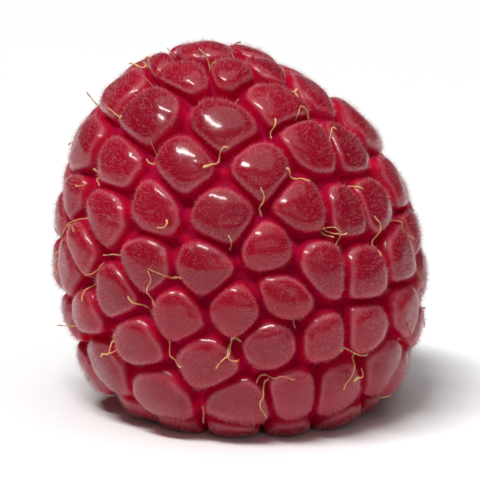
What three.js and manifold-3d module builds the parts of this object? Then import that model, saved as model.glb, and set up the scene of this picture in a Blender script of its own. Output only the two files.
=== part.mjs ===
// A ripe red raspberry as picked: about a hundred drupelets grown together in one body, round
// the hollow that the receptacle left. Millimetres, +Z up, standing on its open rim, tip up.
// Bearings are degrees round the axis from the front (-Y), towards +X.

import * as THREE from 'three';
import { ConvexHull } from 'three/addons/math/ConvexHull.js';
import Module from 'manifold-3d';

// The skin's floor, which the drupelets bulge from: a thimble, outside, rim and hollow.
const GIRTH_RADIUS = 9.3;
const GIRTH_HEIGHT = 8.0;
const TIP_HEIGHT = 19.75;
const RIM_RADIUS = 6.1;
const RIM_HEIGHT = 0.86;
const MOUTH_RADIUS = 4.7;
const MOUTH_HEIGHT = 2.6;
const HOLLOW_HEIGHT = 16.0;
const CROWN_POWER = 1.93;
const SKIRT_POWER = 1.78;
const LIP_POWER = 2.0;
const HOLLOW_POWER = 2.2;

// How the whole berry leans and how far from round it is.
const LEAN = 1.9;
const LEAN_HEIGHT = 19;
const OVAL = 0.012;
const OVAL_BEARING = 90;
const LOBE = 0.012;
const LOBE_BEARING = 20;

// Rows of drupelets. A row's front ones stand at the bearings and heights given, and the rest
// of its count is spread evenly round the back, from the bearing called resume where there is one.
const OUTER_ROWS = [
  { height: 19.1, count: 6, front: [[-24, 19.1], [24, 19.2], [74, 19.0]] },
  { height: 17.3, count: 8, front: [[-40, 17.3], [3, 17.0], [40, 17.8]] },
  { height: 15.1, count: 11, front: [[-50, 14.8], [-16, 15.3], [15, 15.2], [43, 15.9], [62, 15.2]] },
  {
    height: 12.9,
    count: 13,
    front: [[-51, 12.2], [-30, 13.1], [-3, 13.1], [27, 13.3], [44, 12.8], [60, 12.6]],
  },
  {
    height: 10.4,
    count: 16,
    front: [[-63, 10.1], [-33, 10.3], [-11, 10.4], [12, 11.3], [27, 10.4], [45, 9.6], [66, 9.6]],
  },
  { height: 8.0, count: 17, front: [[-46, 8.5], [-22, 7.7], [-1, 8.1], [14, 8.9]], resume: 92 },
  {
    height: 5.7,
    count: 17,
    front: [[-64, 7.0], [-39, 5.8], [-13, 5.0], [9, 6.3], [26, 6.3], [43, 6.2], [64, 6.8]],
  },
  {
    height: 3.2,
    count: 15,
    front: [[-60, 3.7], [-34, 2.8], [-3, 2.7], [17, 3.4], [34, 3.5], [52, 4.2]],
  },
];
const RIM_ROW = { count: 14, front: [[-7, 0]] };
const INNER_ROWS = [
  { height: 2.7, count: 15, front: [[4, 2.7]] },
  { height: 4.9, count: 15, front: [[16, 4.9]] },
  { height: 7.1, count: 14, front: [[3, 7.1]] },
  { height: 9.3, count: 13, front: [[17, 9.3]] },
  { height: 11.4, count: 12, front: [[2, 11.4]] },
  { height: 13.3, count: 9, front: [[21, 13.3]] },
  { height: 14.9, count: 6, front: [[0, 14.9]] },
];
const TIP_WIDTH = 3.4;
const APEX_WIDTH = 2.0;
const OUTER_RELIEF = 1.1;
const RIM_RELIEF = 0.95;
const INNER_RELIEF = 0.34;
const SWAY = 0.13; // of the spacing: how far a drupelet strays from its row
const SIZE_SPREAD = 0.2;
const FRONT_SIZE_SPREAD = 0.06;
const RELIEF_SPREAD = 0.13;
const OFF_CENTRE = 0.12; // of the cell's radius: where the crest strays to
const SETTLING = 0.6; // share of the way that each drupelet moves to its cell's middle
const SETTLING_ROUNDS = 6;

// A drupelet's form: its outline is its cell with rounded corners, its section a superellipse.
const CORNER_POWER = 5;
const DOME_POWER = 2.8;
const INSET = 0.94; // of the way out: where a drupelet's flank meets the groove's floor
const PIT = -0.15; // height of the groove's floor at an outer corner, where three drupelets meet
const SADDLE = 0.3; // of the relief: height of the groove's floor halfway between two corners
const FULL_SADDLE_EDGE = 2; // an edge shorter than this has a lower saddle
const OUTER_RINGS = [0.88, 0.5];
const INNER_RINGS = [0.6];

const EDGE_STEP = 1.25;
const INNER_EDGE_STEP = 1.1;
const SHORTEST_EDGE = 0.4;
const PROFILE_STEPS = 160; // in each quarter of the profile
const RIM_INDEX = 2 * PROFILE_STEPS - 1; // the profile's lowest point
const SEED = 368;
const SLAB_WIDTH = 60;
const SLAB_DEPTH = 4;
const CRIMSON = 0x91213a;
const ROUGHNESS = 0.38;
const TURN = 2 * Math.PI;
const QUARTER = Math.PI / 2;
const radians = THREE.MathUtils.degToRad;

function seededRandom(seed) {
  let state = seed;
  return () => {
    state = (state + 0x6d2b79f5) | 0;
    let bits = Math.imul(state ^ (state >>> 15), 1 | state);
    bits = (bits + Math.imul(bits ^ (bits >>> 7), 61 | bits)) ^ bits;
    return ((bits ^ (bits >>> 14)) >>> 0) / 4294967296;
  };
}

// The floor's profile from the tip, down the outside, round the rim and up the hollow. The
// position u grows by distance over radius, which makes the map to the unit sphere conformal.
function makeProfile() {
  const rows = [];
  const quarter = (power, place) => {
    const cos = (angle) => Math.cos(angle) ** (2 / power);
    const sin = (angle) => Math.sin(angle) ** (2 / power);
    for (let i = 1; i <= PROFILE_STEPS; i += 1) rows.push(place(cos, sin, i / PROFILE_STEPS));
  };
  quarter(CROWN_POWER, (cos, sin, share) => {
    const angle = QUARTER * (1 - share * share);
    const z = GIRTH_HEIGHT + (TIP_HEIGHT - GIRTH_HEIGHT) * sin(angle);
    return { r: GIRTH_RADIUS * cos(angle), z };
  });
  quarter(SKIRT_POWER, (cos, sin, share) => {
    const angle = QUARTER * share;
    const r = RIM_RADIUS + (GIRTH_RADIUS - RIM_RADIUS) * cos(angle);
    return { r, z: GIRTH_HEIGHT - (GIRTH_HEIGHT - RIM_HEIGHT) * sin(angle) };
  });
  quarter(LIP_POWER, (cos, sin, share) => {
    const angle = QUARTER * share;
    const r = RIM_RADIUS - (RIM_RADIUS - MOUTH_RADIUS) * sin(angle);
    return { r, z: MOUTH_HEIGHT - (MOUTH_HEIGHT - RIM_HEIGHT) * cos(angle) };
  });
  quarter(HOLLOW_POWER, (cos, sin, share) => {
    const angle = QUARTER * (1 - (1 - share) ** 2);
    const z = MOUTH_HEIGHT + (HOLLOW_HEIGHT - MOUTH_HEIGHT) * sin(angle);
    return { r: MOUTH_RADIUS * cos(angle), z };
  });
  rows.pop();
  rows[0].u = 0;
  rows.forEach((row, i) => {
    const before = rows[Math.max(i - 1, 0)];
    const after = rows[Math.min(i + 1, rows.length - 1)];
    const length = Math.hypot(after.r - before.r, after.z - before.z);
    row.normalR = (before.z - after.z) / length;
    row.normalZ = (after.r - before.r) / length;
    if (i === 0) return;
    const widening = row.r - before.r;
    const step = Math.hypot(widening, row.z - before.z);
    const isStraightUp = Math.abs(widening) < 1e-9;
    const mean = isStraightUp ? row.r : widening / Math.log(row.r / before.r);
    row.u = before.u + step / mean;
  });
  const middle = rows[RIM_INDEX].u;
  rows.forEach((row) => {
    row.u -= middle;
  });
  return rows;
}

const profile = makeProfile();

function profileAt(u) {
  let low = 0;
  let high = profile.length - 1;
  if (u <= profile[low].u) return profile[low];
  if (u >= profile[high].u) return profile[high];
  while (high - low > 1) {
    const middle = (low + high) >> 1;
    if (profile[middle].u <= u) low = middle;
    else high = middle;
  }
  const share = (u - profile[low].u) / (profile[high].u - profile[low].u);
  const mixed = {};
  for (const key of ['r', 'z', 'normalR', 'normalZ']) {
    mixed[key] = THREE.MathUtils.lerp(profile[low][key], profile[high][key], share);
  }
  return mixed;
}

function positionOfHeight(height, from, to) {
  let best = from;
  for (let i = from; i <= to; i += 1) {
    if (Math.abs(profile[i].z - height) < Math.abs(profile[best].z - height)) best = i;
  }
  return profile[best].u;
}

// The direction on the unit sphere that a position and a bearing stand for.
function onSphere(u, bearing) {
  const tangent = Math.exp(u);
  const sine = (2 * tangent) / (1 + tangent * tangent);
  const cosine = (1 - tangent * tangent) / (1 + tangent * tangent);
  return new THREE.Vector3(sine * Math.sin(bearing), -sine * Math.cos(bearing), cosine);
}

function floorBelow(direction) {
  return profileAt(0.5 * Math.log((1 - direction.z) / (1 + direction.z)));
}

// From a direction on the sphere to the berry's skin, at a height above the floor.
function onBerry(direction, height) {
  const bearing = Math.atan2(direction.x, -direction.y);
  const floor = floorBelow(direction);
  const z = floor.z + height * floor.normalZ;
  const oval = OVAL * Math.cos(2 * (bearing - radians(OVAL_BEARING)));
  const lobe = LOBE * Math.cos(3 * (bearing - radians(LOBE_BEARING)));
  const radius = (floor.r + height * floor.normalR) * (1 + oval + lobe);
  const lean = LEAN * (z / LEAN_HEIGHT) ** 2;
  return new THREE.Vector3(radius * Math.sin(bearing) - lean, -radius * Math.cos(bearing), z);
}

function millimetresPerRadian(direction) {
  return floorBelow(direction).r / Math.hypot(direction.x, direction.y);
}

function placeDrupelets() {
  const random = seededRandom(SEED);
  const stray = () => 2 * random() - 1;
  const drupelets = [];
  const add = (u, bearing, width, relief, inside, fixed) => {
    const direction = onSphere(u, radians(bearing));
    const size = 1 + (fixed ? FRONT_SIZE_SPREAD : SIZE_SPREAD) * stray();
    drupelets.push({
      direction,
      angle: (0.5 * width * size) / millimetresPerRadian(direction),
      relief: relief * (0.5 + 0.5 * size) * (1 + RELIEF_SPREAD * stray()),
      shift: new THREE.Vector2(OFF_CENTRE * stray(), OFF_CENTRE * stray()),
      inside,
      fixed,
    });
  };
  const addRow = (row, positionOf, relief, inside) => {
    const spacing = 360 / row.count;
    const middle = positionOf(row.height);
    const width = radians(spacing) * profileAt(middle).r;
    row.front.forEach(([bearing, height]) => {
      add(positionOf(height), bearing, width, relief, inside, !inside);
    });
    const start = row.resume ?? row.front[row.front.length - 1][0] + spacing;
    const end = row.front[0][0] + 360 - spacing;
    const gaps = Math.round((end - start) / spacing);
    for (let i = 0; i <= gaps; i += 1) {
      const bearing = start + ((end - start) * i) / gaps + spacing * SWAY * stray();
      add(middle + radians(spacing) * SWAY * stray(), bearing, width, relief, inside, false);
    }
  };
  const outside = (height) => positionOfHeight(height, 0, RIM_INDEX);
  const within = (height) => positionOfHeight(height, RIM_INDEX, profile.length - 1);
  add(profile[0].u, 0, TIP_WIDTH, OUTER_RELIEF, false, false);
  OUTER_ROWS.forEach((row) => addRow(row, outside, OUTER_RELIEF, false));
  addRow(RIM_ROW, () => profile[RIM_INDEX].u, RIM_RELIEF, false);
  INNER_ROWS.forEach((row) => addRow(row, within, INNER_RELIEF, true));
  add(profile[profile.length - 1].u, 0, APEX_WIDTH, INNER_RELIEF, true, false);
  return drupelets;
}

// Share the sphere out among the drupelets. Each corner, where three of them meet, is the
// normal of a face of their hull, and each cell lists its corners anticlockwise from outside.
function shareOut(drupelets) {
  const points = drupelets.map((one) => one.direction.clone().divideScalar(Math.cos(one.angle)));
  const numberOf = new Map(points.map((point, i) => [point, i]));
  const around = points.map(() => new Map());
  const corners = new ConvexHull().setFromPoints(points).faces.map((face, corner) => {
    const [a, b, c] = [0, 1, 2].map((i) => numberOf.get(face.getEdge(i).head().point));
    around[a].set(b, { to: c, corner });
    around[b].set(c, { to: a, corner });
    around[c].set(a, { to: b, corner });
    return face.normal.clone().normalize();
  });
  const cells = around.map((steps) => {
    const cell = [];
    let neighbour = steps.keys().next().value;
    for (let i = 0; i < steps.size; i += 1) {
      const step = steps.get(neighbour);
      cell.push(step.corner);
      neighbour = step.to;
    }
    return cell;
  });
  return { corners, cells };
}

function middleOf(directions) {
  const sum = new THREE.Vector3();
  directions.forEach((one, i) => {
    const next = directions[(i + 1) % directions.length];
    sum.addScaledVector(one.clone().add(next), one.distanceTo(next));
  });
  return sum.normalize();
}

function settle(drupelets) {
  for (let round = 0; round < SETTLING_ROUNDS; round += 1) {
    const { corners, cells } = shareOut(drupelets);
    drupelets.forEach((one, i) => {
      if (one.fixed) return;
      const middle = middleOf(cells[i].map((corner) => corners[corner]));
      one.direction.lerp(middle, SETTLING).normalize();
    });
  }
}

// Corners closer than SHORTEST_EDGE become one, at their middle.
function mergeCorners({ corners, cells }) {
  const leader = corners.map((_, i) => i);
  const leaderOf = (i) => (leader[i] === i ? i : leaderOf(leader[i]));
  const places = corners.map((corner) => onBerry(corner, 0));
  for (const cell of cells) {
    cell.forEach((corner, i) => {
      const next = cell[(i + 1) % cell.length];
      const isShort = places[corner].distanceTo(places[next]) < SHORTEST_EDGE;
      if (isShort) leader[leaderOf(next)] = leaderOf(corner);
    });
  }
  const merged = corners.map(() => new THREE.Vector3());
  corners.forEach((corner, i) => merged[leaderOf(i)].add(corner));
  merged.forEach((corner) => corner.normalize());
  const shortened = cells.map((cell) => {
    const led = cell.map(leaderOf);
    return led.filter((corner, i) => corner !== led[(i + 1) % led.length]);
  });
  return { corners: merged, cells: shortened };
}

// A cell's own flat chart, centred on the crest, in which great circles are straight lines.
function makeChart(drupelet, outline) {
  const middle = middleOf(outline);
  const east = new THREE.Vector3(-middle.y, middle.x, 0).normalize();
  const north = new THREE.Vector3().crossVectors(middle, east);
  const reach = outline.reduce((sum, one) => sum + one.angleTo(middle), 0) / outline.length;
  const crest = middle.clone();
  crest.addScaledVector(east, reach * drupelet.shift.x);
  crest.addScaledVector(north, reach * drupelet.shift.y).normalize();
  east.addScaledVector(crest, -east.dot(crest)).normalize();
  north.crossVectors(crest, east);
  return {
    flatten(direction) {
      const depth = direction.dot(crest);
      return new THREE.Vector2(direction.dot(east) / depth, direction.dot(north) / depth);
    },
    raise(point) {
      const direction = crest.clone().addScaledVector(east, point.x).addScaledVector(north, point.y);
      return direction.normalize();
    },
  };
}

// How far out a point lies in a cell: 0 at the crest, 1 at its outline with rounded corners.
function makeGauge(flatCorners) {
  const sides = flatCorners.map((one, i) => {
    const next = flatCorners[(i + 1) % flatCorners.length];
    const area = one.x * next.y - one.y * next.x;
    return new THREE.Vector2((next.y - one.y) / area, (one.x - next.x) / area);
  });
  return (point) => {
    const sum = sides.reduce((total, side) => total + Math.max(0, side.dot(point)) ** CORNER_POWER, 0);
    return sum ** (1 / CORNER_POWER);
  };
}

function domeHeight(gauge) {
  return (1 - Math.min(gauge / INSET, 1) ** DOME_POWER) ** (1 / DOME_POWER);
}

// The closed skin: each drupelet rises in rings from its cell's outline to its crest.
function makeSkin(drupelets) {
  const { corners, cells } = mergeCorners(shareOut(drupelets));
  const positions = [];
  const triangles = [];
  const addVertex = (direction, height) => positions.push(onBerry(direction, height)) - 1;
  const innerCorners = new Set(cells.filter((_, i) => drupelets[i].inside).flat());
  const heightOfCorner = (corner) => (innerCorners.has(corner) ? 0 : PIT);
  const cornerVertices = new Map();
  const vertexOfCorner = (corner) => {
    const height = heightOfCorner(corner);
    if (!cornerVertices.has(corner)) cornerVertices.set(corner, addVertex(corners[corner], height));
    return { vertex: cornerVertices.get(corner), direction: corners[corner], height };
  };

  // The edge between two cells is cut once, and both cells use its points.
  const edges = new Map();
  const edgeBetween = (from, to, step, relief) => {
    const key = from < to ? `${from} ${to}` : `${to} ${from}`;
    if (!edges.has(key)) {
      const ends = [Math.min(from, to), Math.max(from, to)];
      const [start, end] = ends.map((corner) => corners[corner]);
      const [startHeight, endHeight] = ends.map(heightOfCorner);
      const length = onBerry(start, 0).distanceTo(onBerry(end, 0));
      const count = Math.max(1, Math.round(length / step));
      const saddle = SADDLE * relief * Math.min(1, length / FULL_SADDLE_EDGE);
      const points = [];
      for (let i = 1; i < count; i += 1) {
        const share = i / count;
        const direction = start.clone().lerp(end, share).normalize();
        const floor = THREE.MathUtils.lerp(startHeight, endHeight, share);
        const height = THREE.MathUtils.lerp(floor, saddle, Math.sin(Math.PI * share));
        points.push({ vertex: addVertex(direction, height), direction, height });
      }
      edges.set(key, points);
    }
    return from < to ? edges.get(key) : [...edges.get(key)].reverse();
  };

  drupelets.forEach((drupelet, number) => {
    const cell = cells[number];
    const outline = [];
    cell.forEach((corner, i) => {
      const next = cell[(i + 1) % cell.length];
      const step = drupelet.inside ? INNER_EDGE_STEP : EDGE_STEP;
      const relief = drupelet.inside ? INNER_RELIEF : OUTER_RELIEF;
      outline.push(vertexOfCorner(corner), ...edgeBetween(corner, next, step, relief));
    });
    const chart = makeChart(drupelet, cell.map((corner) => corners[corner]));
    const gauge = makeGauge(cell.map((corner) => chart.flatten(corners[corner])));
    const flat = outline.map((one) => chart.flatten(one.direction));
    let outer = outline.map((one) => one.vertex);
    for (const level of drupelet.inside ? INNER_RINGS : OUTER_RINGS) {
      const ring = outline.map((one, i) => {
        const place = flat[i].clone().multiplyScalar(level / gauge(flat[i]));
        const height = THREE.MathUtils.lerp(one.height, drupelet.relief, domeHeight(level));
        return addVertex(chart.raise(place), height);
      });
      ring.forEach((vertex, i) => {
        const next = (i + 1) % ring.length;
        triangles.push([outer[i], outer[next], ring[next]], [outer[i], ring[next], vertex]);
      });
      outer = ring;
    }
    const crest = addVertex(chart.raise(new THREE.Vector2(0, 0)), drupelet.relief);
    outer.forEach((vertex, i) => triangles.push([vertex, outer[(i + 1) % outer.length], crest]));
  });
  return { positions, triangles };
}

const wasm = await Module();
wasm.setup();

function toSolid(vertices, triangles) {
  return new wasm.Manifold(new wasm.Mesh({
    numProp: 3,
    vertProperties: Float32Array.from(vertices),
    triVerts: Uint32Array.from(triangles),
  }));
}

// The drupelets that the berry stands on are pressed flat, level with z = 0.
function standOnRim(solid) {
  const slab = new THREE.BoxGeometry(SLAB_WIDTH, SLAB_WIDTH, SLAB_DEPTH);
  slab.translate(0, 0, -SLAB_DEPTH / 2);
  slab.deleteAttribute('normal');
  slab.deleteAttribute('uv');
  const merged = mergeByPlace(slab);
  return solid.subtract(toSolid(merged.vertices, merged.triangles));
}

function mergeByPlace(geometry) {
  const place = geometry.getAttribute('position');
  const seen = new Map();
  const vertices = [];
  const numbers = [];
  for (let i = 0; i < place.count; i += 1) {
    const point = [place.getX(i), place.getY(i), place.getZ(i)];
    const key = point.join();
    if (!seen.has(key)) {
      seen.set(key, seen.size);
      vertices.push(...point);
    }
    numbers.push(seen.get(key));
  }
  return { vertices, triangles: Array.from(geometry.getIndex().array, (i) => numbers[i]) };
}

function toGeometry(solid) {
  const { vertProperties, triVerts } = solid.getMesh();
  const geometry = new THREE.BufferGeometry();
  geometry.setAttribute('position', new THREE.BufferAttribute(Float32Array.from(vertProperties), 3));
  geometry.setIndex(new THREE.BufferAttribute(Uint32Array.from(triVerts), 1));
  return geometry;
}

function makeFruit() {
  const drupelets = placeDrupelets();
  settle(drupelets);
  const { positions, triangles } = makeSkin(drupelets);
  const skin = toSolid(positions.flatMap((point) => point.toArray()), triangles.flat());
  const geometry = toGeometry(standOnRim(skin));
  geometry.computeBoundingBox();
  const middle = geometry.boundingBox.getCenter(new THREE.Vector3());
  geometry.translate(-middle.x, -middle.y, 0);
  geometry.computeVertexNormals();
  const material = new THREE.MeshStandardMaterial({ color: CRIMSON, roughness: ROUGHNESS });
  const fruit = new THREE.Mesh(geometry, material);
  fruit.name = 'fruit';
  return fruit;
}

const group = new THREE.Group();
group.add(makeFruit());

export default group;
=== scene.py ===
import math

import bpy
import numpy as np
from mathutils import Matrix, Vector, noise
from mathutils.bvhtree import BVHTree


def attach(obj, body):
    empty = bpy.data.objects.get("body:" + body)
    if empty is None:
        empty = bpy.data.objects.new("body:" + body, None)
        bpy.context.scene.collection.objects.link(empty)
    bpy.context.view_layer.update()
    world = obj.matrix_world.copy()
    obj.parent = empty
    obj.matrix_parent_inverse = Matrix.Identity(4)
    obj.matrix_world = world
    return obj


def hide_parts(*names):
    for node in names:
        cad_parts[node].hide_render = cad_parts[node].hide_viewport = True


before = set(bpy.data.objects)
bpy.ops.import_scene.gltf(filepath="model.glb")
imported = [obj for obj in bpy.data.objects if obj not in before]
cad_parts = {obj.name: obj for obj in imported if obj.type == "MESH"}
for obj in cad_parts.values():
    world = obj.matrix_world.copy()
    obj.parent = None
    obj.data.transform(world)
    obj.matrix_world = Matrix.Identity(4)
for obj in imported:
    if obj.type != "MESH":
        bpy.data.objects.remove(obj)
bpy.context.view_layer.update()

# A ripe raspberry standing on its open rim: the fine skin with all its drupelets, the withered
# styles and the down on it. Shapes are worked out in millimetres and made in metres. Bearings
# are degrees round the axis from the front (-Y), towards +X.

MM = 0.001

# The values down to SEED are those of the CAD source, so that the same drupelets come out.
# The skin's floor, which the drupelets bulge from: a thimble, outside, rim and hollow.
GIRTH_RADIUS = 9.3
GIRTH_HEIGHT = 8.0
TIP_HEIGHT = 19.75
RIM_RADIUS = 6.1
RIM_HEIGHT = 0.86
MOUTH_RADIUS = 4.7
MOUTH_HEIGHT = 2.6
HOLLOW_HEIGHT = 16.0
CROWN_POWER = 1.93
SKIRT_POWER = 1.78
LIP_POWER = 2.0
HOLLOW_POWER = 2.2

# How the whole berry leans and how far from round it is.
LEAN = 1.9
LEAN_HEIGHT = 19
OVAL = 0.012
OVAL_BEARING = 90
LOBE = 0.012
LOBE_BEARING = 20

# Rows of drupelets, as (height, count, [(bearing, height) of the front ones], resume). The rest
# of the count is spread evenly round the back, from the bearing called resume if there is one.
OUTER_ROWS = [
    (19.1, 6, [(-24, 19.1), (24, 19.2), (74, 19.0)], None),
    (17.3, 8, [(-40, 17.3), (3, 17.0), (40, 17.8)], None),
    (15.1, 11, [(-50, 14.8), (-16, 15.3), (15, 15.2), (43, 15.9), (62, 15.2)], None),
    (
        12.9,
        13,
        [(-51, 12.2), (-30, 13.1), (-3, 13.1), (27, 13.3), (44, 12.8), (60, 12.6)],
        None,
    ),
    (
        10.4,
        16,
        [(-63, 10.1), (-33, 10.3), (-11, 10.4), (12, 11.3), (27, 10.4), (45, 9.6), (66, 9.6)],
        None,
    ),
    (8.0, 17, [(-46, 8.5), (-22, 7.7), (-1, 8.1), (14, 8.9)], 92),
    (
        5.7,
        17,
        [(-64, 7.0), (-39, 5.8), (-13, 5.0), (9, 6.3), (26, 6.3), (43, 6.2), (64, 6.8)],
        None,
    ),
    (
        3.2,
        15,
        [(-60, 3.7), (-34, 2.8), (-3, 2.7), (17, 3.4), (34, 3.5), (52, 4.2)],
        None,
    ),
]
RIM_ROW = (0, 14, [(-7, 0)], None)
INNER_ROWS = [
    (2.7, 15, [(4, 2.7)], None),
    (4.9, 15, [(16, 4.9)], None),
    (7.1, 14, [(3, 7.1)], None),
    (9.3, 13, [(17, 9.3)], None),
    (11.4, 12, [(2, 11.4)], None),
    (13.3, 9, [(21, 13.3)], None),
    (14.9, 6, [(0, 14.9)], None),
]
TIP_WIDTH = 3.4
APEX_WIDTH = 2.0
OUTER_RELIEF = 1.1
RIM_RELIEF = 0.95
INNER_RELIEF = 0.34
SWAY = 0.13  # of the spacing: how far a drupelet strays from its row
SIZE_SPREAD = 0.2
FRONT_SIZE_SPREAD = 0.06
RELIEF_SPREAD = 0.13
OFF_CENTRE = 0.12  # of the cell's radius: where the crest strays to
SETTLING = 0.6  # share of the way that each drupelet moves to its cell's middle
SETTLING_ROUNDS = 6
CORNER_POWER = 5
DOME_POWER = 2.8
INSET = 0.94  # of the way out: where a drupelet's flank meets the groove's floor
PIT = -0.15  # height of the groove's floor at an outer corner, where three drupelets meet
SADDLE = 0.3  # of the relief: height of the groove's floor halfway between two corners
FULL_SADDLE_EDGE = 2  # an edge shorter than this has a lower saddle
SHORTEST_EDGE = 0.4
PROFILE_STEPS = 160  # in each quarter of the profile
RIM_INDEX = 2 * PROFILE_STEPS - 1  # the profile's lowest point
SEED = 368

# The fine mesh, and the gentle waves on the drupelets' tops.
EDGE_STEP = 0.3
OUTER_RINGS = 13
INNER_RINGS = 7
GROOVE_TONE = 0.5
SKIN_SEED = 5
WAVES_PER_MM = 0.8
WAVE_HEIGHT = 0.09

# The withered styles: fine threads that mostly lie on the skin, with a thicker root and stigma.
STYLE_SHARE = 1.0  # of the drupelets above the rim still have theirs
STYLE_STANDING = 0.2  # of them stand off the skin
STYLE_LENGTHS = (0.8, 2.4)
STYLE_ROOTS = (0.45, 0.95)  # of the way from the crest to a corner
STYLE_HEADING = 0.5  # radians: how far one strays from the way to that corner
STYLE_BEND = 0.7  # radians a millimetre, at the most
STYLE_KINK = 0.3  # radians of turn a step
STYLE_STEPS = 16
STYLE_SIDES = 6
STYLE_LOWEST = 1.2  # a crest lower than this stands too near the ground for one
LYING_LIFTS = (0.0, 0.3)  # how far the tip rises
STANDING_LIFTS = (0.6, 1.1)
STANDING_TRAVEL = 0.45  # of the length goes along the skin
LIFT_POWER = 1.3
BRIDGING = 3  # rounds of smoothing that carry a style over a groove
STYLE_RADIUS = 0.04
STYLE_THICKNESS = (0.8, 1.25)  # of the radius, from style to style
STYLE_ROOT_GIRTH = 1.4
STYLE_TAPER = 0.9
STYLE_UNEVENNESS = 0.18
STYLE_GIRTH_LIMITS = (0.5, 1.6)
STIGMA_STEPS = 3
STIGMA_GIRTH = 1.7
PALENESS_SPREAD = 0.6  # from style to style
TIP_DARKENING = 0.5
TONE_SPREAD = 0.12  # from step to step
STYLE_SEED = 11
PROBE_HEIGHT = 4.0

# The down: short straight hairs, each a slim three-sided cone.
DOWN_COUNT = 60000
DOWN_LENGTHS = (0.10, 0.30)
DOWN_RADIUS = 0.006
DOWN_SIDES = 3
DOWN_DEPTH = 0.02  # its root is this far under the skin
DOWN_SPREAD = 0.35
DOWN_LOWEST = 0.5  # of a drupelet's height: none grow further down
DOWN_SEED = 3

QUARTER = math.pi / 2
TURN = 2 * math.pi
WORD = 0xFFFFFFFF
LEVEL = 1e-9  # a step that widens by less than this counts as straight up
POLE_GAP = 1e-15  # keeps the position finite at the poles
ASKEW = np.array([0.3, 0.2, 0.1])  # turns a direction off itself, so that they can be crossed
DOWN_ASKEW = np.array([0.2, 0.1, 0.3])


def seeded_random(seed):
    """The CAD source's own random draws, number for number."""
    state = seed

    def multiply(a, b):
        return (a * b) & WORD

    def draw():
        nonlocal state
        state = (state + 0x6D2B79F5) & WORD
        bits = multiply(state ^ (state >> 15), 1 | state)
        bits = ((bits + multiply(bits ^ (bits >> 7), 61 | bits)) & WORD) ^ bits
        return ((bits ^ (bits >> 14)) & WORD) / (WORD + 1)

    return draw


# ---- The floor's profile ------------------------------------------------------------------


def make_profile():
    """Points from the tip, down the outside, round the rim and up the hollow. Their position u
    grows by distance over radius, which makes the map to the unit sphere conformal."""
    share = np.arange(1, PROFILE_STEPS + 1) / PROFILE_STEPS

    def quarter(power, angle):
        return np.abs(np.cos(angle)) ** (2 / power), np.sin(angle) ** (2 / power)

    cos, sin = quarter(CROWN_POWER, QUARTER * (1 - share**2))
    crown = GIRTH_RADIUS * cos, GIRTH_HEIGHT + (TIP_HEIGHT - GIRTH_HEIGHT) * sin
    cos, sin = quarter(SKIRT_POWER, QUARTER * share)
    skirt = (
        RIM_RADIUS + (GIRTH_RADIUS - RIM_RADIUS) * cos,
        GIRTH_HEIGHT - (GIRTH_HEIGHT - RIM_HEIGHT) * sin,
    )
    cos, sin = quarter(LIP_POWER, QUARTER * share)
    lip = (
        RIM_RADIUS - (RIM_RADIUS - MOUTH_RADIUS) * sin,
        MOUTH_HEIGHT - (MOUTH_HEIGHT - RIM_HEIGHT) * cos,
    )
    cos, sin = quarter(HOLLOW_POWER, QUARTER * (1 - (1 - share) ** 2))
    hollow = MOUTH_RADIUS * cos, MOUTH_HEIGHT + (HOLLOW_HEIGHT - MOUTH_HEIGHT) * sin
    r, z = (np.concatenate(parts)[:-1] for parts in zip(crown, skirt, lip, hollow))

    before = np.maximum(np.arange(len(r)) - 1, 0)
    after = np.minimum(np.arange(len(r)) + 1, len(r) - 1)
    length = np.hypot(r[after] - r[before], z[after] - z[before])
    normal_r = (z[before] - z[after]) / length
    normal_z = (r[after] - r[before]) / length
    widening = np.diff(r)
    level = np.abs(widening) < LEVEL
    mean = np.where(level, r[1:], widening / np.log(np.where(level, 2, r[1:] / r[:-1])))
    u = np.concatenate([[0], np.cumsum(np.hypot(widening, np.diff(z)) / mean)])
    return {"r": r, "z": z, "normal_r": normal_r, "normal_z": normal_z, "u": u - u[RIM_INDEX]}


PROFILE = make_profile()


def profile_at(key, u):
    return np.interp(u, PROFILE["u"], PROFILE[key])


def position_of_height(height, first, last):
    return PROFILE["u"][first + int(np.argmin(np.abs(PROFILE["z"][first : last + 1] - height)))]


def on_sphere(u, bearing):
    """The direction on the unit sphere that a position and a bearing stand for."""
    tangent = math.exp(u)
    sine = 2 * tangent / (1 + tangent**2)
    cosine = (1 - tangent**2) / (1 + tangent**2)
    return np.array([sine * math.sin(bearing), -sine * math.cos(bearing), cosine])


def position_on_sphere(directions):
    z = np.clip(directions[..., 2], -1 + POLE_GAP, 1 - POLE_GAP)
    return 0.5 * np.log((1 - z) / (1 + z))


def on_berry(directions, heights):
    """From directions on the sphere to the berry's skin, at heights above the floor."""
    directions = np.atleast_2d(directions)
    u = position_on_sphere(directions)
    bearing = np.arctan2(directions[:, 0], -directions[:, 1])
    z = profile_at("z", u) + heights * profile_at("normal_z", u)
    oval = OVAL * np.cos(2 * (bearing - math.radians(OVAL_BEARING)))
    lobe = LOBE * np.cos(3 * (bearing - math.radians(LOBE_BEARING)))
    radius = (profile_at("r", u) + heights * profile_at("normal_r", u)) * (1 + oval + lobe)
    lean = LEAN * (z / LEAN_HEIGHT) ** 2
    return np.stack([radius * np.sin(bearing) - lean, -radius * np.cos(bearing), z], axis=1)


def millimetres_per_radian(direction):
    radius = float(profile_at("r", position_on_sphere(direction)))
    return radius / math.hypot(direction[0], direction[1])


# ---- The drupelets ------------------------------------------------------------------------


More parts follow.
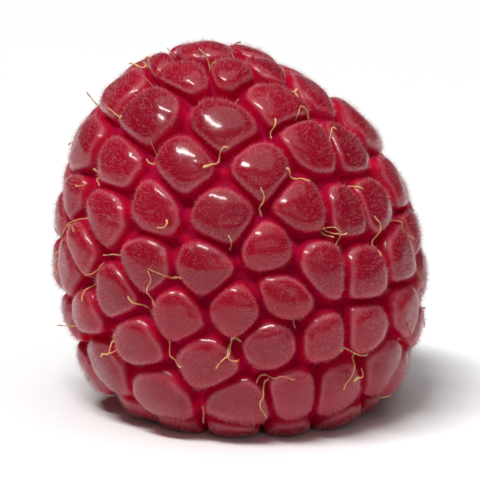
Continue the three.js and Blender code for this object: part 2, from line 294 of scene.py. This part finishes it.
def place_drupelets():
    random = seeded_random(SEED)
    drupelets = []

    def stray():
        return 2 * random() - 1

    def add(u, bearing, width, relief, inside, fixed):
        direction = on_sphere(u, math.radians(bearing))
        size = 1 + (FRONT_SIZE_SPREAD if fixed else SIZE_SPREAD) * stray()
        drupelets.append({
            "direction": direction,
            "angle": 0.5 * width * size / millimetres_per_radian(direction),
            "relief": relief * (0.5 + 0.5 * size) * (1 + RELIEF_SPREAD * stray()),
            "shift": (OFF_CENTRE * stray(), OFF_CENTRE * stray()),
            "inside": inside,
            "fixed": fixed,
        })

    def add_row(row, position_of, relief, inside):
        height, count, front, resume = row
        spacing = 360 / count
        middle = position_of(height)
        width = math.radians(spacing) * float(profile_at("r", middle))
        for bearing, own_height in front:
            add(position_of(own_height), bearing, width, relief, inside, not inside)
        start = front[-1][0] + spacing if resume is None else resume
        end = front[0][0] + 360 - spacing
        gaps = math.floor((end - start) / spacing + 0.5)
        for i in range(gaps + 1):
            bearing = start + (end - start) * i / gaps + spacing * SWAY * stray()
            position = middle + math.radians(spacing) * SWAY * stray()
            add(position, bearing, width, relief, inside, False)

    def outside(height):
        return position_of_height(height, 0, RIM_INDEX)

    def within(height):
        return position_of_height(height, RIM_INDEX, len(PROFILE["u"]) - 1)

    add(PROFILE["u"][0], 0, TIP_WIDTH, OUTER_RELIEF, False, False)
    for row in OUTER_ROWS:
        add_row(row, outside, OUTER_RELIEF, False)
    add_row(RIM_ROW, lambda height: PROFILE["u"][RIM_INDEX], RIM_RELIEF, False)
    for row in INNER_ROWS:
        add_row(row, within, INNER_RELIEF, True)
    add(PROFILE["u"][-1], 0, APEX_WIDTH, INNER_RELIEF, True, False)
    return drupelets


def hull_of(points):
    """Triangles of the convex hull, anticlockwise from outside, with one point added at a time."""
    count = len(points)
    a, b, c, d = 0, count // 3, 2 * count // 3, count - 1
    if np.dot(np.cross(points[b] - points[a], points[c] - points[a]), points[d] - points[a]) > 0:
        b, c = c, b
    faces = [(a, b, c), (a, c, d), (a, d, b), (b, d, c)]
    for i in range(count):
        if i in (a, b, c, d):
            continue
        corners = points[np.array(faces)]
        normals = np.cross(corners[:, 1] - corners[:, 0], corners[:, 2] - corners[:, 0])
        seen = np.einsum("ij,ij->i", normals, points[i] - corners[:, 0]) > 0
        hit = [face for face, is_seen in zip(faces, seen) if is_seen]
        edges = {edge for face in hit for edge in zip(face, face[1:] + face[:1])}
        horizon = [(p, q) for p, q in sorted(edges) if (q, p) not in edges]
        faces = [face for face, is_seen in zip(faces, seen) if not is_seen]
        faces += [(p, q, i) for p, q in horizon]
    return faces


def unit(vectors):
    return vectors / np.linalg.norm(vectors, axis=-1, keepdims=True)


def share_out(drupelets):
    """Share the sphere out among the drupelets. Each corner, where three of them meet, is the
    normal of a face of their hull, and each cell lists its corners anticlockwise from outside."""
    points = np.array([one["direction"] / math.cos(one["angle"]) for one in drupelets])
    around = [{} for _ in points]
    corners = []
    for corner, (a, b, c) in enumerate(hull_of(points)):
        corners.append(np.cross(points[b] - points[a], points[c] - points[a]))
        around[a][b] = c, corner
        around[b][c] = a, corner
        around[c][a] = b, corner
    cells = []
    for steps in around:
        cell = []
        neighbour = next(iter(steps))
        for _ in range(len(steps)):
            neighbour, corner = steps[neighbour]
            cell.append(corner)
        cells.append(cell)
    return unit(np.array(corners)), cells


def middle_of(directions):
    following = np.roll(directions, -1, axis=0)
    lengths = np.linalg.norm(following - directions, axis=1, keepdims=True)
    return unit(np.sum((directions + following) * lengths, axis=0))


def settle(drupelets):
    for _ in range(SETTLING_ROUNDS):
        corners, cells = share_out(drupelets)
        for one, cell in zip(drupelets, cells):
            if not one["fixed"]:
                middle = middle_of(corners[cell])
                one["direction"] = unit(one["direction"] + (middle - one["direction"]) * SETTLING)


def merge_corners(corners, cells):
    """Corners closer than SHORTEST_EDGE become one, at their middle. The others of such a group
    are left over, and no cell uses them."""
    leader = list(range(len(corners)))

    def leader_of(i):
        return i if leader[i] == i else leader_of(leader[i])

    places = on_berry(corners, 0)
    for cell in cells:
        for corner, following in zip(cell, cell[1:] + cell[:1]):
            if np.linalg.norm(places[corner] - places[following]) < SHORTEST_EDGE:
                leader[leader_of(following)] = leader_of(corner)
    merged = np.zeros_like(corners)
    for i, corner in enumerate(corners):
        merged[leader_of(i)] += corner
    merged[np.linalg.norm(merged, axis=1) == 0] = 1
    shortened = []
    for cell in cells:
        led = [leader_of(corner) for corner in cell]
        shortened.append([p for p, q in zip(led, led[1:] + led[:1]) if p != q])
    return unit(merged), shortened


class Chart:
    """A cell's own flat chart, centred on its crest, in which great circles are straight."""

    def __init__(self, drupelet, outline):
        middle = middle_of(outline)
        east = unit(np.array([-middle[1], middle[0], 0]))
        north = np.cross(middle, east)
        reach = float(np.mean(np.arccos(np.clip(outline @ middle, -1, 1))))
        shift_x, shift_y = drupelet["shift"]
        self.crest = unit(middle + east * reach * shift_x + north * reach * shift_y)
        self.east = unit(east - self.crest * np.dot(east, self.crest))
        self.north = np.cross(self.crest, self.east)
        self.outline = outline
        flat = self.flatten(outline)
        following = np.roll(flat, -1, axis=0)
        area = flat[:, 0] * following[:, 1] - flat[:, 1] * following[:, 0]
        across = np.stack([following[:, 1] - flat[:, 1], flat[:, 0] - following[:, 0]], axis=1)
        self.sides = across / area[:, None]

    def flatten(self, directions):
        depth = directions @ self.crest
        return np.stack([directions @ self.east / depth, directions @ self.north / depth], axis=1)

    def raise_up(self, points):
        return unit(self.crest + points[:, :1] * self.east + points[:, 1:] * self.north)

    def gauge(self, points):
        """How far out points lie: 0 at the crest, 1 at the outline with its rounded corners."""
        past_sides = np.maximum(0, points @ self.sides.T)
        return np.sum(past_sides**CORNER_POWER, axis=1) ** (1 / CORNER_POWER)


# ---- The fine skin ------------------------------------------------------------------------


class Skin:
    """The fine skin as it grows. Each vertex has its direction on the sphere, its height above
    the floor, and for the materials how far up its drupelet it lies, the drupelet's own tone,
    and whether it is in the hollow."""

    def __init__(self, drupelets, corners, cells):
        self.corners = corners
        self.directions = [*corners]
        self.heights = [PIT] * len(corners)
        for drupelet, cell in zip(drupelets, cells):
            if drupelet["inside"]:
                for corner in cell:
                    self.heights[corner] = 0.0
        self.domes = [0.0] * len(corners)
        self.tones = [GROOVE_TONE] * len(corners)
        self.insides = [0.0] * len(corners)
        self.faces = []
        self.edges = {}

    def add_vertices(self, directions, heights, domes, tone, inside):
        first = len(self.directions)
        count = len(directions)
        self.directions.extend(directions)
        self.heights.extend(np.broadcast_to(heights, count))
        self.domes.extend(np.broadcast_to(domes, count))
        self.tones.extend([tone] * count)
        self.insides.extend([float(inside)] * count)
        return list(range(first, first + count))

    def edge_between(self, start, end, inside):
        """The vertices between two corners. An edge is cut once, and both its cells use it."""
        low, high = min(start, end), max(start, end)
        if (low, high) not in self.edges:
            places = on_berry(self.corners[[low, high]], 0)
            length = float(np.linalg.norm(places[1] - places[0]))
            count = max(1, round(length / EDGE_STEP))
            share = np.arange(1, count) / count
            way = self.corners[high] - self.corners[low]
            directions = unit(self.corners[low] + way * share[:, None])
            floor = self.heights[low] * (1 - share) + self.heights[high] * share
            relief = INNER_RELIEF if inside else OUTER_RELIEF
            saddle = SADDLE * relief * min(1, length / FULL_SADDLE_EDGE)
            heights = floor + (saddle - floor) * np.sin(math.pi * share)
            self.edges[low, high] = self.add_vertices(directions, heights, 0, GROOVE_TONE, inside)
        numbers = self.edges[low, high]
        return numbers if start < end else numbers[::-1]

    def add_drupelet(self, drupelet, cell, tone):
        """Rise in rings from the cell's outline to the crest. The rings are even steps of the
        angle round the dome's section, so they crowd where it is steep."""
        inside = drupelet["inside"]
        outline = []
        for corner, following in zip(cell, cell[1:] + cell[:1]):
            outline += [corner, *self.edge_between(corner, following, inside)]
        chart = Chart(drupelet, self.corners[cell])
        flat = chart.flatten(np.array([self.directions[i] for i in outline]))
        gauge = chart.gauge(flat)
        floor = np.array([self.heights[i] for i in outline])
        rings = INNER_RINGS if inside else OUTER_RINGS
        outer = outline
        for i in range(rings):
            angle = QUARTER * (1 - i / rings)
            level = INSET * math.sin(angle) ** (2 / DOME_POWER)
            dome = math.cos(angle) ** (2 / DOME_POWER) if i else 0.0
            heights = floor + (drupelet["relief"] - floor) * dome
            directions = chart.raise_up(flat * (level / gauge)[:, None])
            ring = self.add_vertices(directions, heights, dome, tone, inside)
            for j, vertex in enumerate(ring):
                following = (j + 1) % len(ring)
                self.faces.append((outer[j], outer[following], ring[following], vertex))
            outer = ring
        (crest,) = self.add_vertices([chart.crest], drupelet["relief"], 1.0, tone, inside)
        following = outer[1:] + outer[:1]
        self.faces += [(vertex, after, crest) for vertex, after in zip(outer, following)]
        return chart

    def finish(self):
        """The places, faces and attributes of the mesh, without corners that no cell uses."""
        keep = sorted({i for face in self.faces for i in face})
        renumber = {old: new for new, old in enumerate(keep)}
        faces = [tuple(renumber[i] for i in face) for face in self.faces]
        directions = np.array(self.directions)[keep]
        heights = np.array(self.heights)[keep]
        domes = np.array(self.domes)[keep]
        smooth = on_berry(directions, heights)
        waves = [noise.noise(Vector(place)) for place in smooth * WAVES_PER_MM]
        places = on_berry(directions, heights + WAVE_HEIGHT * domes * waves)
        attributes = {
            "dome": domes,
            "tone": np.array(self.tones)[keep],
            "inside": np.array(self.insides)[keep],
        }
        return places, faces, attributes


def make_skin(drupelets, corners, cells):
    """The fine skin's places, faces and attributes, and each drupelet's chart."""
    skin = Skin(drupelets, corners, cells)
    random = np.random.default_rng(SKIN_SEED)
    charts = []
    for drupelet, cell in zip(drupelets, cells):
        charts.append(skin.add_drupelet(drupelet, cell, float(random.random())))
    return *skin.finish(), charts


def make_object(name, places, faces, material, attributes):
    """A smooth mesh from places in millimetres, with the attributes' values at its vertices."""
    mesh = bpy.data.meshes.new(name)
    mesh.from_pydata((places * MM).tolist(), [], faces)
    mesh.polygons.foreach_set("use_smooth", [True] * len(mesh.polygons))
    for key, values in attributes.items():
        layer = mesh.attributes.new(key, "FLOAT", "POINT")
        layer.data.foreach_set("value", np.asarray(values, dtype=np.float32))
    mesh.materials.append(material)
    piece = bpy.data.objects.new(name, mesh)
    bpy.context.scene.collection.objects.link(piece)
    return piece


# ---- Materials ----------------------------------------------------------------------------

# Colours: the skin's from the groove's floor, painted lighter to offset its shade, up to the
# dusty top and the painted sheen line round it, then the hollow's, the hairs' and the floor's.
# Painted light: the grooves' crimson is lighter than the tops', and lightest on their floor, to
# offset the shade down in them.
GROOVE_FLOOR_PAINTED_LIGHT = (0.46, 0.0, 0.033, 1)
GROOVE_FLANK_PAINTED_LIGHT = (0.37, 0.0, 0.028, 1)
DARK_CRIMSON = (0.20, 0.0, 0.010, 1)
LIGHT_CRIMSON = (0.30, 0.001, 0.018, 1)
BLOOM = (0.30, 0.007, 0.028, 1)
# A painted sheen: the pale line round each drupelet's top, where fuzz would catch light at grazing
# angles.
PAINTED_SHEEN_RIM = (0.48, 0.10, 0.14, 1)
DARK_HOLLOW = (0.50, 0.10, 0.11, 1)
LIGHT_HOLLOW = (0.62, 0.19, 0.18, 1)
PALE_STYLE = (0.84, 0.50, 0.21, 1)
DARK_STYLE = (0.52, 0.23, 0.10, 1)
DOWN = (0.60, 0.24, 0.26, 1)
PAPER = (0.96, 0.96, 0.96, 1)

# Where each of these comes in, or ends, on the way up a drupelet: between two shares of its
# height.
# Over this share of the height, the painted light on a groove's floor gives way to its flank's
# colour.
PAINTED_LIGHT_FLANK_STARTS = (0.0, 0.4)
CRIMSON_STARTS = (0.35, 0.75)
BLOOM_STARTS = (0.45, 0.7)
# Where the painted sheen line begins and ends on the way up a drupelet.
SHEEN_RIM_STARTS = (0.56, 0.66)
SHEEN_RIM_ENDS = (0.70, 0.82)
SHINE_STARTS = (0.3, 0.6)
COAT_STARTS = (0.4, 0.65)

BLOOM_SHARE = 0.55
SHEEN_RIM_SHARE = 0.7
THINNEST_CLOUD = 0.4
CLOUD_RANGE = (0.35, 0.7)  # of the noise
SHINE_RANGE = (0.3, 0.7)
SHINE_ROUGHNESS = (0.35, 0.45)
GROOVE_ROUGHNESS = 0.8
HOLLOW_ROUGHNESS = 0.75
STYLE_ROUGHNESS = 0.5
DOWN_ROUGHNESS = 0.6
PAPER_ROUGHNESS = 0.8
COAT_WEIGHT = 0.9
COAT_ROUGHNESS = 0.15
JUICE_IOR = 1.4
SPECULAR_LEVEL = 0.12
LIGHT_REACH = 3.0  # mm: how far red light spreads in the flesh
LIGHT_REACHES = (1.0, 0.1, 0.1)  # of that, for red, green and blue

# Noises, with scales in waves a metre and detail in octaves.
CLOUD_SCALE = 260.0
SHINE_SCALE = 500.0
HOLLOW_SCALE = 900.0
PORE_SCALE = 3500.0
FINE = 3.0
COARSE = 2.0
PORE_ROUGHNESS = 0.6  # of the noise: how much its finer octaves count
PORE_STRENGTH = 0.12
PORE_DEPTH = 0.05  # mm

# The colour sockets of a Mix node share their names with its other types, so they go by number.
MIX_FIRST = 6
MIX_SECOND = 7
MIX_RESULT = 2


class Nodes:
    """A small helper to build a material's node tree."""

    def __init__(self, name):
        self.material = bpy.data.materials.new(name)
        self.material.use_nodes = True
        self.tree = self.material.node_tree
        self.shader = self.tree.nodes["Principled BSDF"]

    def put(self, socket, value):
        if isinstance(value, bpy.types.NodeSocket):
            self.tree.links.new(value, socket)
        else:
            socket.default_value = value

    def shade(self, **settings):
        """Set the shader's sockets, which are named here with _ for each space."""
        for key, value in settings.items():
            self.put(self.shader.inputs[key.replace("_", " ")], value)

    def attribute(self, name):
        node = self.tree.nodes.new("ShaderNodeAttribute")
        node.attribute_name = name
        return node.outputs["Fac"]

    def noise(self, scale, detail, roughness=0.5):
        place = self.tree.nodes.new("ShaderNodeTexCoord").outputs["Object"]
        node = self.tree.nodes.new("ShaderNodeTexNoise")
        self.put(node.inputs["Vector"], place)
        self.put(node.inputs["Scale"], scale)
        self.put(node.inputs["Detail"], detail)
        self.put(node.inputs["Roughness"], roughness)
        return node.outputs["Fac"]

    def fit(self, value, ends, low=0.0, high=1.0):
        """Low to high, as value goes from one of ends to the other. The first inputs of a Map
        Range node are just these, in this order."""
        node = self.tree.nodes.new("ShaderNodeMapRange")
        for socket, given in zip(node.inputs, (value, *ends, low, high)):
            self.put(socket, given)
        return node.outputs["Result"]

    def mix(self, share, first, second):
        node = self.tree.nodes.new("ShaderNodeMix")
        node.data_type = "RGBA"
        self.put(node.inputs["Factor"], share)
        self.put(node.inputs[MIX_FIRST], first)
        self.put(node.inputs[MIX_SECOND], second)
        return node.outputs[MIX_RESULT]

    def multiply(self, first, *others):
        for other in others:
            node = self.tree.nodes.new("ShaderNodeMath")
            node.operation = "MULTIPLY"
            self.put(node.inputs[0], first)
            self.put(node.inputs[1], other)
            first = node.outputs[0]
        return first


def fruit_material():
    """Juicy crimson grooves, painted lighter to offset the shade in them, glossy tops under a
    cloudy bloom with a painted sheen line round it, and a paler, dry hollow."""
    nodes = Nodes("fruit_skin")
    dome = nodes.attribute("dome")
    inside = nodes.attribute("inside")
    crimson = nodes.mix(nodes.attribute("tone"), DARK_CRIMSON, LIGHT_CRIMSON)
    # Painted light: a groove's floor is coloured lighter than its flanks to offset the shade
    # there.
    groove_painted_light = nodes.mix(nodes.fit(dome, PAINTED_LIGHT_FLANK_STARTS), GROOVE_FLOOR_PAINTED_LIGHT, GROOVE_FLANK_PAINTED_LIGHT)
    skin = nodes.mix(nodes.fit(dome, CRIMSON_STARTS), groove_painted_light, crimson)
    cloud = nodes.fit(nodes.noise(CLOUD_SCALE, FINE), CLOUD_RANGE, THINNEST_CLOUD)
    bloom = nodes.multiply(cloud, nodes.fit(dome, BLOOM_STARTS), BLOOM_SHARE)
    skin = nodes.mix(bloom, skin, BLOOM)
    # Painted sheen: a pale band part way down each drupelet's top, thinned by the cloud.
    sheen_band = nodes.multiply(nodes.fit(dome, SHEEN_RIM_STARTS), nodes.fit(dome, SHEEN_RIM_ENDS, 1.0, 0.0))
    skin = nodes.mix(nodes.multiply(sheen_band, cloud, SHEEN_RIM_SHARE), skin, PAINTED_SHEEN_RIM)
    hollow = nodes.mix(nodes.noise(HOLLOW_SCALE, COARSE), DARK_HOLLOW, LIGHT_HOLLOW)
    shine = nodes.fit(nodes.noise(SHINE_SCALE, FINE), SHINE_RANGE, *SHINE_ROUGHNESS)
    roughness = nodes.fit(dome, SHINE_STARTS, GROOVE_ROUGHNESS, shine)
    pores = nodes.tree.nodes.new("ShaderNodeBump")
    nodes.put(pores.inputs["Height"], nodes.noise(PORE_SCALE, FINE, PORE_ROUGHNESS))
    nodes.put(pores.inputs["Strength"], PORE_STRENGTH)
    nodes.put(pores.inputs["Distance"], PORE_DEPTH * MM)
    nodes.shade(
        Base_Color=nodes.mix(inside, skin, hollow),
        Roughness=nodes.fit(inside, (0.0, 1.0), roughness, HOLLOW_ROUGHNESS),
        Subsurface_Weight=1.0,
        Subsurface_Radius=LIGHT_REACHES,
        Subsurface_Scale=LIGHT_REACH * MM,
        IOR=JUICE_IOR,
        Specular_IOR_Level=SPECULAR_LEVEL,
        Coat_Weight=nodes.fit(dome, COAT_STARTS, 0.0, COAT_WEIGHT),
        Coat_Roughness=COAT_ROUGHNESS,
        Coat_IOR=JUICE_IOR,
        Normal=pores.outputs["Normal"],
    )
    return nodes.material


def style_material():
    nodes = Nodes("dry_style")
    colour = nodes.mix(nodes.attribute("tone"), PALE_STYLE, DARK_STYLE)
    nodes.shade(Base_Color=colour, Roughness=STYLE_ROUGHNESS)
    return nodes.material


def down_material():
    nodes = Nodes("down")
    nodes.shade(Base_Color=DOWN, Roughness=DOWN_ROUGHNESS)
    return nodes.material


def floor_material():
    nodes = Nodes("paper")
    nodes.shade(Base_Color=PAPER, Roughness=PAPER_ROUGHNESS)
    return nodes.material


# ---- Stage, lights and camera, in metres, degrees and watts -------------------------------

FLOOR_HALF_SIDE = 3.0
SKY_FADE = (0.15, 0.6)  # heights, as sines, between which the sky goes from pale to dark
HORIZON_STRENGTH = 0.74
ZENITH_STRENGTH = 0.03

# Azimuth 0 is straight in front of the berry, 90 at its right.
# (name, azimuth, elevation, distance, width, height, power)
LIGHTS = [
    ("key", -34, 64, 1.4, 0.8, 0.14, 17),
    ("overhead", 20, 80, 1.5, 1.6, 1.6, 11),
    ("front", 15, 26, 1.4, 1.4, 0.5, 1.8),
]
LIT_POINT = Vector((0, 0, 0.01))

# The photograph's elevation and heading, framed on the one berry.
CAMERA_ELEVATION = 15
CAMERA_DISTANCE = 0.4
CAMERA_TARGET = Vector((0, 0, 0.0096))
CAMERA_FIELD = 0.0269  # width of the frame at the target
CAMERA_CLIP = (0.01, 20)
SENSOR_WIDTH = 36  # mm


def around(azimuth, elevation, distance):
    """The way from the berry to what stands round it, in metres."""
    a, e = math.radians(azimuth), math.radians(elevation)
    level = distance * math.cos(e)
    return Vector((level * math.sin(a), -level * math.cos(a), distance * math.sin(e)))


def place_facing(name, data, place, target):
    """Add a lamp or a camera, which both look along their own -Z."""
    item = bpy.data.objects.new(name, data)
    item.location = place
    item.rotation_euler = (target - place).to_track_quat("-Z", "Y").to_euler()
    bpy.context.scene.collection.objects.link(item)
    return item


def add_lights():
    for name, azimuth, elevation, distance, width, height, power in LIGHTS:
        light = bpy.data.lights.new(name, "AREA")
        light.shape = "RECTANGLE"
        light.size = width
        light.size_y = height
        light.energy = power
        place_facing(name, light, around(azimuth, elevation, distance), LIT_POINT)


def set_up_sky():
    """A studio that is pale at the horizon and dark above, where the lights are."""
    world = bpy.data.worlds.new("studio")
    world.use_nodes = True
    tree = world.node_tree
    direction = tree.nodes.new("ShaderNodeTexCoord")
    split = tree.nodes.new("ShaderNodeSeparateXYZ")
    fade = tree.nodes.new("ShaderNodeMapRange")
    fade.interpolation_type = "SMOOTHSTEP"
    values = (*SKY_FADE, HORIZON_STRENGTH, ZENITH_STRENGTH)
    for socket, value in zip(list(fade.inputs)[1:], values):
        socket.default_value = value
    tree.links.new(direction.outputs["Generated"], split.inputs[0])
    tree.links.new(split.outputs["Z"], fade.inputs["Value"])
    tree.links.new(fade.outputs["Result"], tree.nodes["Background"].inputs["Strength"])
    bpy.context.scene.world = world


def make_floor():
    corners = [(-1, -1, 0), (1, -1, 0), (1, 1, 0), (-1, 1, 0)]
    places = np.array(corners) * FLOOR_HALF_SIDE / MM
    floor = make_object("floor", places, [(0, 1, 2, 3)], floor_material(), {})


def set_up_camera():
    camera = bpy.data.cameras.new("camera")
    camera.sensor_width = SENSOR_WIDTH
    camera.lens = SENSOR_WIDTH * CAMERA_DISTANCE / CAMERA_FIELD
    camera.clip_start, camera.clip_end = CAMERA_CLIP
    place = CAMERA_TARGET + around(0, CAMERA_ELEVATION, CAMERA_DISTANCE)
    scene = bpy.context.scene
    scene.camera = place_facing("camera", camera, place, CAMERA_TARGET)
    scene.view_settings.view_transform = "Standard"


# ---- Styles and down ----------------------------------------------------------------------


class Surface:
    """The berry where it stands: points at heights above its skin's floor, and the fine skin's
    own height above it, found by a ray."""

    def __init__(self, places, faces, middle):
        self.middle = middle
        self.tree = BVHTree.FromPolygons(places.tolist(), faces)

    def place(self, direction, height):
        return on_berry(direction, np.array([height]))[0] - self.middle

    def height_at(self, direction):
        top = self.place(direction, PROBE_HEIGHT)
        foot = self.place(direction, 0.0)
        distance = self.tree.ray_cast(Vector(top), Vector(foot - top))[3]
        return PROBE_HEIGHT * (1 - distance / np.linalg.norm(foot - top))


def circle_points(centre, across, up, radius, sides):
    """Points round a centre, or round many centres at once."""
    points = []
    for side in range(sides):
        angle = TURN * side / sides
        points.append(centre + radius * (math.cos(angle) * across + math.sin(angle) * up))
    return points


def tube(points, radii, sides):
    """Places and faces of a thin closed tube along points."""
    tangents = unit(np.gradient(points, axis=0))
    across = np.cross(tangents[0], unit(points[0] + ASKEW))
    places = []
    for point, tangent, radius in zip(points, tangents, radii):
        across = unit(across - tangent * np.dot(across, tangent))
        places += circle_points(point, across, np.cross(tangent, across), radius, sides)
    last = (len(points) - 1) * sides
    faces = []
    for first in range(0, last, sides):
        for side in range(sides):
            a, b = first + side, first + (side + 1) % sides
            faces.append((a, b, b + sides, a + sides))
    faces.append(tuple(reversed(range(sides))))
    faces.append(tuple(range(last, last + sides)))
    return places, faces


def compass(direction):
    """East and north of a direction on the sphere."""
    east = unit(np.array([-direction[1], direction[0], 0]))
    return east, np.cross(direction, east)


def wander(direction, heading, travel, random):
    """The directions that a style passes over, from its root."""
    bend = random.uniform(-STYLE_BEND, STYLE_BEND)
    directions = [direction]
    for _ in range(STYLE_STEPS):
        east, north = compass(direction)
        step = travel / STYLE_STEPS / millimetres_per_radian(direction)
        ahead = east * math.cos(heading) + north * math.sin(heading)
        direction = unit(direction + ahead * step)
        directions.append(direction)
        heading += bend * travel / STYLE_STEPS + random.normal(0, STYLE_KINK)
    return directions


def trace_style(surface, root, goal, random):
    """The points and radii of a withered style, which mostly lies over the grooves towards a
    corner of its cell and bridges the hollows under it."""
    length = random.uniform(*STYLE_LENGTHS)
    stands = random.random() < STYLE_STANDING
    lift = random.uniform(*(STANDING_LIFTS if stands else LYING_LIFTS))
    east, north = compass(root)
    towards = goal - root
    heading = math.atan2(towards @ north, towards @ east) + random.normal(0, STYLE_HEADING)
    travel = length * (STANDING_TRAVEL if stands else 1.0)
    directions = wander(root, heading, travel, random)
    ground = np.array([surface.height_at(one) for one in directions])
    share = np.arange(STYLE_STEPS + 1) / STYLE_STEPS
    heights = ground + STYLE_RADIUS
    for _ in range(BRIDGING):
        smooth = heights.copy()
        smooth[1:-1] = (heights[:-2] + heights[2:]) / 2
        heights = np.maximum(heights, smooth)
    heights += lift * share**LIFT_POWER
    heights[0] = ground[0] - 2 * STYLE_RADIUS  # so that it grows out of the skin
    points = np.array([surface.place(one, height) for one, height in zip(directions, heights)])
    points[:, 2] = np.maximum(points[:, 2], 2 * STYLE_RADIUS)  # clear of the ground
    unevenness = random.normal(1, STYLE_UNEVENNESS, STYLE_STEPS + 1).clip(*STYLE_GIRTH_LIMITS)
    radii = STYLE_RADIUS * (STYLE_ROOT_GIRTH - STYLE_TAPER * share) * unevenness
    radii[-STIGMA_STEPS:] *= STIGMA_GIRTH
    return points, radii * random.uniform(*STYLE_THICKNESS)


def make_styles(drupelets, charts, surface):
    """One withered style a drupelet, outside and clear of the rim."""
    random = np.random.default_rng(STYLE_SEED)
    places, faces, tones = [], [], []
    for drupelet, chart in zip(drupelets, charts):
        if drupelet["inside"] or random.random() > STYLE_SHARE:
            continue
        if surface.place(chart.crest, 0)[2] < STYLE_LOWEST:
            continue
        corner = chart.outline[random.integers(len(chart.outline))]
        root = unit(chart.crest + (corner - chart.crest) * random.uniform(*STYLE_ROOTS))
        points, radii = trace_style(surface, root, corner, random)
        new_places, new_faces = tube(points, radii, STYLE_SIDES)
        first = len(places)
        places += new_places
        faces += [tuple(first + i for i in face) for face in new_faces]
        paleness = PALENESS_SPREAD * random.random()
        for i in range(STYLE_STEPS + 1):
            darkening = TIP_DARKENING * (i / STYLE_STEPS) ** 2
            tone = paleness + darkening + random.normal(0, TONE_SPREAD)
            tones += [tone] * STYLE_SIDES
    styles = make_object("styles", np.array(places), faces, style_material(), {"tone": tones})
    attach(styles, "root")


def read_vectors(items, key):
    values = np.empty(len(items) * 3)
    items.foreach_get(key, values)
    return values.reshape(-1, 3)


def make_down(fruit, faces, attributes):
    """Short pale hairs all over the outside, but not down in the grooves."""
    random = np.random.default_rng(DOWN_SEED)
    mesh = fruit.data
    corners = np.array([(*face, face[2])[:4] for face in faces])
    areas = np.empty(len(faces))
    mesh.polygons.foreach_get("area", areas)
    is_outside = attributes["inside"][corners].max(axis=1) == 0
    is_high = attributes["dome"][corners].min(axis=1) > DOWN_LOWEST
    areas *= is_outside * is_high
    chosen = corners[random.choice(len(faces), DOWN_COUNT, p=areas / np.sum(areas))]
    weights = random.dirichlet((1, 1, 1, 1), DOWN_COUNT)[:, :, None]
    spots = read_vectors(mesh.vertices, "co") / MM
    roots = np.sum(spots[chosen] * weights, axis=1)
    out = unit(np.sum(read_vectors(mesh.vertex_normals, "vector")[chosen] * weights, axis=1))
    ahead = unit(out + DOWN_SPREAD * random.normal(size=(DOWN_COUNT, 3)))
    length = random.uniform(*DOWN_LENGTHS, DOWN_COUNT)[:, None]
    across = unit(np.cross(ahead, out + DOWN_ASKEW))
    feet = roots - DOWN_DEPTH * ahead
    places = circle_points(feet, across, np.cross(ahead, across), DOWN_RADIUS, DOWN_SIDES)
    places = np.stack([*places, roots + ahead * length], axis=1).reshape(-1, 3)
    places[:, 2] = np.maximum(places[:, 2], 0)
    first = np.arange(DOWN_COUNT) * (DOWN_SIDES + 1)
    sides = []
    for side in range(DOWN_SIDES):
        following = (side + 1) % DOWN_SIDES
        sides.append(np.stack([first + side, first + following, first + DOWN_SIDES], axis=1))
    down = make_object("down", places, np.concatenate(sides).tolist(), down_material(), {})
    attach(down, "root")


def make_fruit():
    """The fine skin, centred on the axes as the CAD solid is, and the hairs on it."""
    drupelets = place_drupelets()
    settle(drupelets)
    corners, cells = share_out(drupelets)
    corners, cells = merge_corners(corners, cells)
    places, faces, attributes, charts = make_skin(drupelets, corners, cells)
    middle = (places.min(axis=0) + places.max(axis=0)) / 2 * np.array([1, 1, 0])
    places = places - middle
    places[:, 2] = np.maximum(places[:, 2], 0)
    fruit = make_object("fruit_fine", places, faces, fruit_material(), attributes)
    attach(fruit, "root")
    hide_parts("fruit")
    make_styles(drupelets, charts, Surface(places, faces, middle))
    make_down(fruit, faces, attributes)


set_up_camera()
make_floor()
set_up_sky()
add_lights()
make_fruit()
